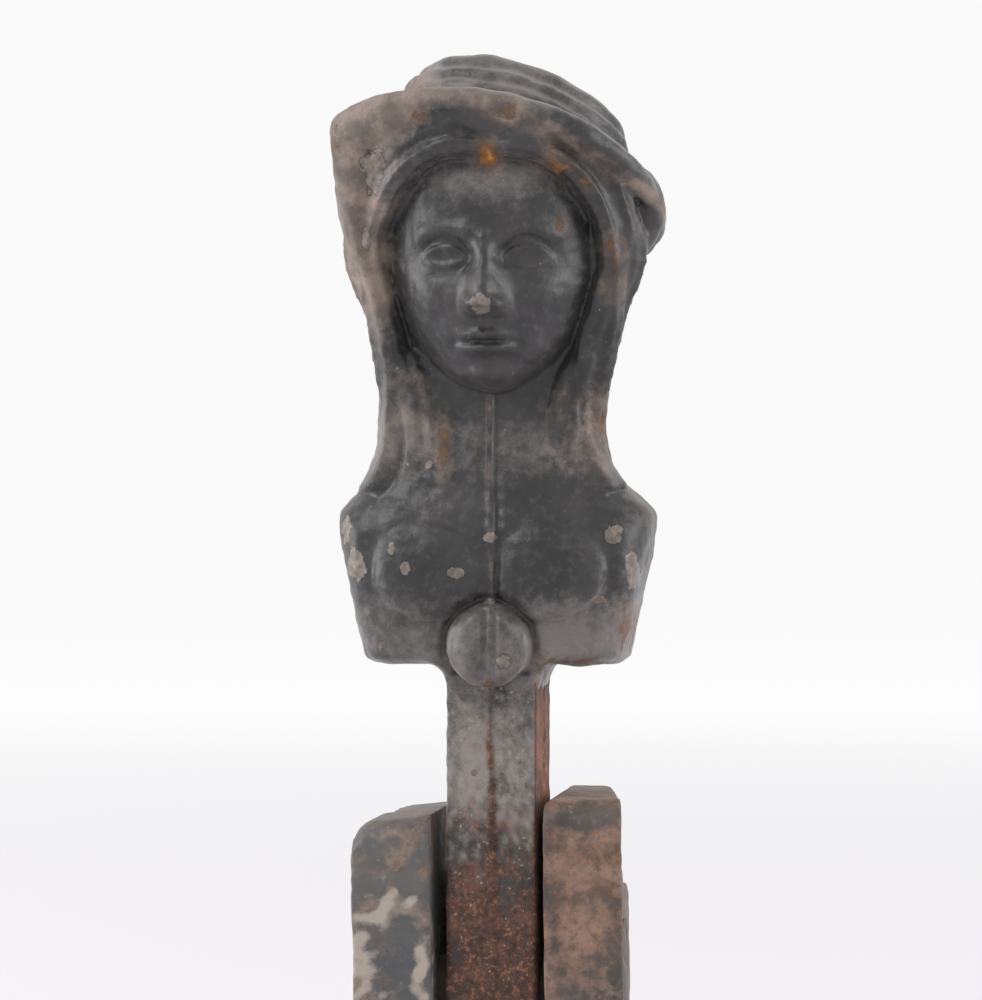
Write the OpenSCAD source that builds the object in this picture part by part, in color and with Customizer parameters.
// Shutter dog: a cast lever with a bust tips between two riveted cheeks on a wall shank.
// Millimetres. +Z up, +Y into the wall, origin where the shank's axis meets the wall.

/* [Wall shank] */
// Distance from the wall to the lever's pivot
reach = 55; // [50:1:90]
// Height of the flat shank bar
shank_h = 16; // [12:0.5:18]
// Diameter of the round tail that is set in the wall
tail_d = 11; // [10:0.5:11]
// Length of the tail behind the wall face
tail_len = 40; // [36:1:80]
// Height of the shoulder that bears on the wall
shoulder_h = 24; // [20:0.5:30]

/* [Fork] */
// Gap between the cheeks, which is also the shank's thickness
slot_w = 11.4; // [11.2:0.1:13]
// Thickness of each cheek at its front edge
cheek_t = 8; // [7:0.1:9]
// Thickness of a cheek's rear arm
arm_t = 4.7; // [4.2:0.1:6]
// Height of the right cheek above the pivot
cheek_top = 20; // [18:0.5:24]
// How much lower the left cheek ends
left_drop = 1.7; // [0:0.1:3]
// Depth of a cheek's upright part, front to back
cheek_depth = 25; // [23:0.5:28]

/* [Lever] */
// Width of the lever's stem
stem_w = 9.1; // [8:0.1:9.8]
// Depth of the stem, front to back
stem_d = 14; // [12:0.5:14]
// Length of the heel below the pivot
heel = 14; // [13:0.5:14]
// Height of the bust's lower edge above the pivot
bust_z = 33.4; // [30:0.2:40]

/* [Bust] */
// Width over the shoulders
shoulder_w = 32.4; // [30:0.2:34]
// Height from the lower edge to the top of the hat
bust_h = 62; // [56:0.2:64]
// Sideways tilt of the hat, in degrees
hat_roll = 16; // [0:1:16]

/* [Rivets] */
// Diameter of the pivot rivet
pivot_d = 7; // [6:0.5:8]
// Diameter of the stop rivet
stop_d = 5; // [4:0.5:5]
// Diameter of the two rivets that hold the cheeks to the shank
fork_rivet_d = 6; // [5:0.5:6]

/* [Hidden] */
$fn = 64;

lever_shift = 0.15;                  // the lever sits a little off the slot's middle
pivot_gap = 0.06;                    // radial play of the lever on its rivet
stop_gap = 0.2;                      // space left between the lever and its stop
cheek_front = 8.5;                   // cheek in front of the pivot
cheek_bottom = -16;
corner_r = 2.5;                      // rounding of the cheek's corners
heel_gap = 0.8;                      // room for the heel in front of the shank, as the lever turns
arm_back = 39;                       // end of the cheek's rear arm, behind the pivot
shank_front = heel + heel_gap;
stop_pos = stem_d / 2 + stop_d / 2 + stop_gap;
rivet_front = shank_front + 5.5;
rivet_rear = arm_back - 6.5;
arm_w = slot_w + 2 * arm_t;          // width over the two rear arms
pivot_seat_w = slot_w + 12.6;        // width over the pivot rivet's flat seats
stop_seat_w = slot_w + 11;           // width over the stop rivet's flat seats
seat_rim = 0.5;                      // flat seat left round a rivet's head
pivot_head = [10.5, 1.4];            // diameter and height of the rivet heads
stop_head = [7.8, 0.9];
fork_sink = [9, 1.5];                // diameter and depth of the flush fork rivets' cones
dome_steps = 6;                      // steps from a rivet head's rim to its middle
shoulder_t = 4;
rag_start = 20;                      // the plain part of the tail ends here
rag_pitch = 6;
rag_depth = 1.2;
rag_end = 2;                         // least length left plain behind the last tooth

// Places its children in the pivot's own frame.
module at_pivot() translate([0, -reach, 0]) children();

// A cylinder across the fork, along X, centred on x.
module cross_cylinder(d, length, x = 0)
  translate([x - length / 2, 0, 0]) rotate([0, 90, 0]) cylinder(d = d, h = length);

// A rivet across the fork, turned in one profile: a plain shank with a low domed head each side.
// The heads sit on faces that are width apart.
module rivet(d, head, width) {
  cap_r = (head[0] * head[0] / 4 + head[1] * head[1]) / (2 * head[1]);
  span = asin(head[0] / 2 / cap_r);
  dome = [for (i = [0 : dome_steps - 1])
    let (angle = span * (1 - i / dome_steps))
    [cap_r * sin(angle), width / 2 + head[1] - cap_r * (1 - cos(angle))]];
  rotate([0, 90, 0]) rotate_extrude() polygon(concat(
    [[0, -width / 2 - head[1]]],
    [for (i = [dome_steps - 1 : -1 : 0]) [dome[i][0], -dome[i][1]]],
    [[d / 2, -width / 2], [d / 2, width / 2]],
    dome,
    [[0, width / 2 + head[1]]]
  ));
}

// A rivet across the fork whose ends fill cones cut in the two outer faces.
module flush_rivet(d, sink, width)
  rotate([0, 90, 0]) rotate_extrude() polygon([
    [0, -width / 2], [sink[0] / 2, -width / 2], [d / 2, sink[1] - width / 2],
    [d / 2, width / 2 - sink[1]], [sink[0] / 2, width / 2], [0, width / 2]
  ]);

// ---- Fork and shank ----

// Side outline of a cheek, in (y, z) from the pivot: an upright plate and a rear arm.
module cheek_outline(top) {
  back = cheek_depth - cheek_front;
  r = corner_r;
  difference() {
    union() {
      translate([-cheek_front, cheek_bottom + r]) square([cheek_depth, top - cheek_bottom - 2 * r]);
      translate([-cheek_front + r, cheek_bottom])
        square([cheek_depth - 2 * r, top - cheek_bottom]);
      for (y = [-cheek_front + r, back - r], z = [cheek_bottom + r, top - r])
        translate([y, z]) circle(r = r);
      translate([0, -shank_h / 2]) square([arm_back - r, shank_h]);
      translate([0, -shank_h / 2 + r]) square([arm_back, shank_h - 2 * r]);
      for (side = [-1, 1])
        translate([arm_back - r, side * (shank_h / 2 - r)]) circle(r = r);
      // filled corners where the arm leaves the plate
      translate([back - 1, -shank_h / 2 - r]) square([r + 1, shank_h + 2 * r]);
    }
    for (side = [-1, 1])
      translate([back + r, side * (shank_h / 2 + r)]) circle(r = r);
  }
}

// Outline of the right cheek from above, in (x, y): the outer face draws in towards the arm.
module cheek_plan() {
  back = cheek_depth - cheek_front;
  inner = slot_w / 2;
  polygon([
    [inner, -cheek_front], [inner, arm_back], [arm_w / 2, arm_back],
    [arm_w / 2, back], [inner + cheek_t, -cheek_front]
  ]);
}

// A flat seat for a rivet head, cut into a cheek's outer face.
module seat(head, width)
  translate([width / 2, 0, 0]) rotate([0, 90, 0]) cylinder(d = head[0] + 2 * seat_rim, h = cheek_t);

// A cheek on one side of the slot, bored for its four rivets.
module cheek(side, top) at_pivot() mirror([side < 0 ? 1 : 0, 0, 0]) difference() {
  intersection() {
    rotate([90, 0, 90]) linear_extrude(slot_w / 2 + cheek_t) cheek_outline(top);
    translate([0, 0, cheek_bottom]) linear_extrude(top - cheek_bottom) cheek_plan();
  }
  cross_cylinder(pivot_d, 2 * arm_w);
  seat(pivot_head, pivot_seat_w);
  translate([0, stop_pos, stop_pos]) {
    cross_cylinder(stop_d, 2 * arm_w);
    seat(stop_head, stop_seat_w);
  }
  for (y = [rivet_front, rivet_rear]) translate([0, y, 0]) {
    cross_cylinder(fork_rivet_d, 2 * arm_w);
    translate([arm_w / 2 - fork_sink[1], 0, 0]) rotate([0, 90, 0])
      cylinder(d1 = fork_rivet_d, d2 = fork_sink[0], h = fork_sink[1]);
  }
}

module left_cheek() color("dimgray") cheek(-1, cheek_top - left_drop);

module right_cheek() color("rosybrown") cheek(1, cheek_top);

// The flat bar, the upset shoulder at the wall and the ragged tail.
module shank() color("darkslategray") difference() {
  union() {
    translate([-slot_w / 2, shank_front - reach, -shank_h / 2])
      cube([slot_w, reach - shank_front - shoulder_t, shank_h]);
    translate([-slot_w / 2, -shoulder_t, -shoulder_h / 2]) cube([slot_w, shoulder_t, shoulder_h]);
    rotate([-90, 0, 0]) rotate_extrude() tail_outline();
  }
  at_pivot() for (y = [rivet_front, rivet_rear])
    translate([0, y, 0]) cross_cylinder(fork_rivet_d, 2 * slot_w);
}

// Half section of the tail: a plain cylinder, then saw-tooth grooves that grip the mortar.
module tail_outline() {
  r = tail_d / 2;
  teeth = floor((tail_len - rag_start - rag_end) / rag_pitch);
  polygon(concat(
    [[0, 0], [r, 0], [r, rag_start]],
    [for (i = [0 : teeth - 1], p = [[r - rag_depth, 0], [r, rag_pitch]])
      [p[0], rag_start + i * rag_pitch + p[1]]],
    [[r - rag_depth, tail_len], [0, tail_len]]
  ));
}

module pivot_rivet() color("gray") at_pivot() rivet(pivot_d, pivot_head, pivot_seat_w);

module stop_rivet() color("gray")
  at_pivot() translate([0, stop_pos, stop_pos]) rivet(stop_d, stop_head, stop_seat_w);

module fork_rivet(y) color("gray")
  at_pivot() translate([0, y, 0]) flush_rivet(fork_rivet_d, fork_sink, arm_w);

module fork_rivet_front() fork_rivet(rivet_front);

module fork_rivet_rear() fork_rivet(rivet_rear);

// ---- Lever ----

// Stem and rounded heel of the lever, bored for the pivot rivet.
module lever_stem() color("saddlebrown") at_pivot() difference() {
  translate([lever_shift - stem_w / 2, 0, 0]) rotate([90, 0, 90]) linear_extrude(stem_w) union() {
    translate([-stem_d / 2, stem_d / 2 - heel]) square([stem_d, bust_z - stem_d / 2 + heel]);
    translate([0, stem_d / 2 - heel]) circle(d = stem_d);
  }
  cross_cylinder(pivot_d + 2 * pivot_gap, 2 * slot_w);
}

// Sections of the bust from its lower edge to the crown, for a bust section_h high, as
// [height, half width, front, back, share of the hat's roll, shift to the side].
half = shoulder_w / 2;
section_h = 60.6;
crown = [60.2, 0, 0, 0, 1, 2];       // the middle of the hat's top
sections = [
  [0, half - 3, 7.6, 8.4, 0, 0],
  [0.8, half - 2.5, 8.4, 9.2, 0, 0],
  [9, half - 1, 9.8, 10, 0, 0],
  [13.8, half, 9.4, 10, 0, 0],
  [15.2, half - 0.4, 8.8, 9.6, 0, 0],
  [16.6, half - 3, 8.2, 9.2, 0, 0],
  [20, half - 4.2, 7.4, 9.4, 0, -0.5],
  [25.5, half - 4.7, 7.2, 11, 0, -0.6],
  [28, half - 4.6, 9.6, 12, 0, -0.4],
  [31, half - 4.3, 12, 13, 0, -0.3],
  [36, half - 3, 13, 14, 0, -0.1],
  [41, half - 1.3, 13, 15, 0.2, 0],
  [47, half - 0.6, 12.6, 15.4, 0.6, 0],
  [51.4, half - 0.4, 12.8, 15.6, 1, 0],
  [51.6, half + 1.4, 15.4, 17, 1, 0],
  [52.8, half + 2, 15.8, 17.4, 1, 0],
  [54.4, half + 1.4, 15.2, 17, 1, 0.1],
  [55.4, half - 4.6, 10.4, 13.6, 1, 1.6],
  [57.6, half - 4.8, 10.2, 13.4, 1, 1.9],
  [58.8, half - 6, 9, 12.4, 1, 2],
  [59.6, half - 8.6, 6.4, 10, 1, 2]
];

ring_points = 44;
rings_between = 2;                   // rings added between two sections

// A section between two of the list's, at a fraction of the way.
function mixed(a, b, t) = a + (b - a) * t;
function all_sections() = [
  for (i = [0 : len(sections) - 2], k = [0 : rings_between - 1])
    mixed(sections[i], sections[i + 1], k / rings_between),
  sections[len(sections) - 1]
];

// A point of a section: a rounded box outline, flatter at the shoulders than at the head.
function squareness(z) = z < 15 ? 0.62 : z < 20 ? 0.62 + 0.076 * (z - 15) : 1;
function signed_power(v, p) = sign(v) * pow(abs(v), p);
function section_point(s, a) =
  let (
    x = s[1] * signed_power(cos(a), squareness(s[0])),
    y = (sin(a) < 0 ? s[2] : s[3]) * signed_power(sin(a), squareness(s[0])),
    roll = hat_roll * s[4]
  )
  [
    s[5] + x * cos(roll) + lever_shift,
    y,
    min(bust_h, max(0, s[0] * bust_h / section_h - x * sin(roll)))
  ];

// The bust: sections joined by a skin, with a flat foot and a closed crown.
module bust_skin() {
  rows = all_sections();
  n = ring_points;
  m = len(rows);
  points = concat(
    [for (s = rows, k = [0 : n - 1]) section_point(s, 360 * k / n)],
    [[lever_shift, 0, 0], section_point(crown, 0)]
  );
  faces = concat(
    [for (i = [0 : m - 2], k = [0 : n - 1]) [i * n + k, (i + 1) * n + k, i * n + (k + 1) % n]],
    [for (i = [0 : m - 2], k = [0 : n - 1])
      [i * n + (k + 1) % n, (i + 1) * n + k, (i + 1) * n + (k + 1) % n]],
    [for (k = [0 : n - 1]) [m * n, k, (k + 1) % n]],
    [for (k = [0 : n - 1]) [m * n + 1, (m - 1) * n + (k + 1) % n, (m - 1) * n + k]]
  );
  polyhedron(points, faces, convexity = 6);
}

module bust() color("darkslategray") at_pivot() translate([0, 0, bust_z]) bust_skin();

bust();
lever_stem();
pivot_rivet();
stop_rivet();
left_cheek();
right_cheek();
shank();
fork_rivet_front();
fork_rivet_rear();
